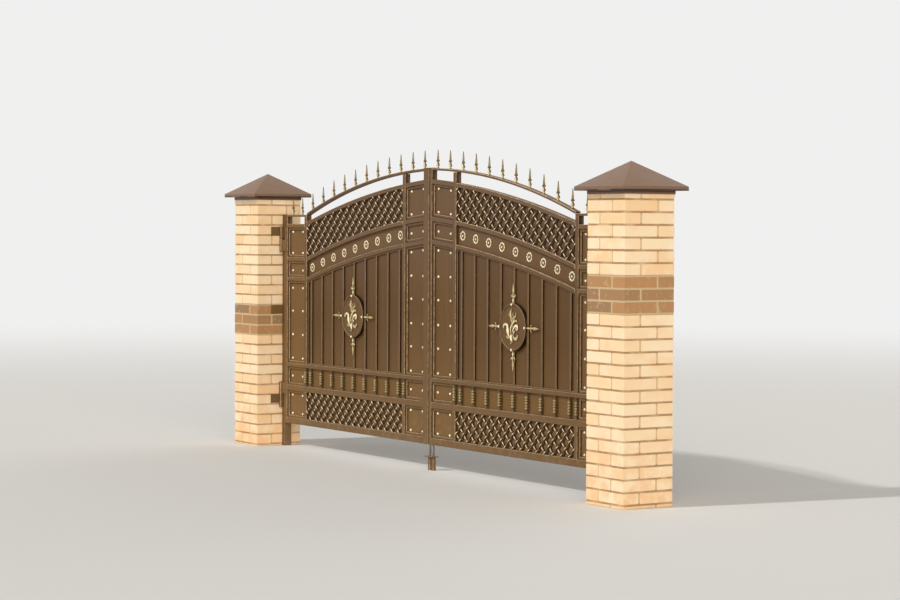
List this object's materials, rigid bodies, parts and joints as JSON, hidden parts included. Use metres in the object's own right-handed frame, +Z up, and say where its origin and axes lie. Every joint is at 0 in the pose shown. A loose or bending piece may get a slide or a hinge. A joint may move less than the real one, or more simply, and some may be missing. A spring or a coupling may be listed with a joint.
{
  "type": "wrought iron double driveway gate",
  "caption": "Double-leaf sheet-backed iron driveway gate with arched top, spear finials and medallions, hung between two capped brick piers.",
  "frame": {"origin": "bottom centre of the bounding box: middle of the gateway, middle of the piers' depth, at the foot of the piers", "axes": "+X along the gateway towards the right-hand pier seen from the street, +Y from the street into the yard, +Z up"},
  "size_m": [5.2, 0.5, 2.2366],
  "materials": {
    "brickwork": "matte",
    "brown_paint": "satin",
    "gold_paint": "satin",
    "steel": "satin"
  },
  "bodies": {
    "piers": {"left_pier": "brickwork", "right_pier": "brickwork", "left_pier_cap": "brown_paint", "right_pier_cap": "brown_paint", "left_post": "brown_paint", "right_post": "brown_paint", "left_hinge_pins": "steel", "right_hinge_pins": "steel", "ground_keep": "brown_paint"},
    "left_leaf": {"left_stiles": "brown_paint", "left_rails": "brown_paint", "left_top_arch": "brown_paint", "left_arches": "brown_paint", "left_sheet": "brown_paint", "left_beads": "brown_paint", "left_bars": "brown_paint", "left_balusters": "brown_paint", "left_top_lattice": "brown_paint", "left_bottom_lattice": "brown_paint", "left_rosettes": "gold_paint", "left_studs": "gold_paint", "left_medallion": "brown_paint", "left_spears": "gold_paint", "left_finials": "gold_paint", "left_hinge_barrels": "brown_paint", "left_cover_strip": "brown_paint"},
    "left_bolt": {"left_drop_bolt": "steel"},
    "right_leaf": {"right_stiles": "brown_paint", "right_rails": "brown_paint", "right_top_arch": "brown_paint", "right_arches": "brown_paint", "right_sheet": "brown_paint", "right_beads": "brown_paint", "right_bars": "brown_paint", "right_balusters": "brown_paint", "right_top_lattice": "brown_paint", "right_bottom_lattice": "brown_paint", "right_rosettes": "gold_paint", "right_studs": "gold_paint", "right_medallion": "brown_paint", "right_spears": "gold_paint", "right_finials": "gold_paint", "right_hinge_barrels": "brown_paint"},
    "right_bolt": {"right_drop_bolt": "steel"}
  },
  "joints": [
    {"name": "left_leaf_hinge", "type": "hinge", "parent": "piers", "child": "left_leaf", "pos_m": [-2.14, 0.008, 1], "axis": [0, 0, 1], "range_deg": [-90, 0]},
    {"name": "right_leaf_hinge", "type": "hinge", "parent": "piers", "child": "right_leaf", "pos_m": [2.14, 0.008, 1], "axis": [0, 0, 1], "range_deg": [0, 90]},
    {"name": "left_bolt_slide", "type": "slide", "parent": "left_leaf", "child": "left_bolt", "axis": [0, 0, 1], "range_m": [-0.04, 0.08]},
    {"name": "right_bolt_slide", "type": "slide", "parent": "right_leaf", "child": "right_bolt", "axis": [0, 0, 1], "range_m": [-0.04, 0.08]}
  ]
}
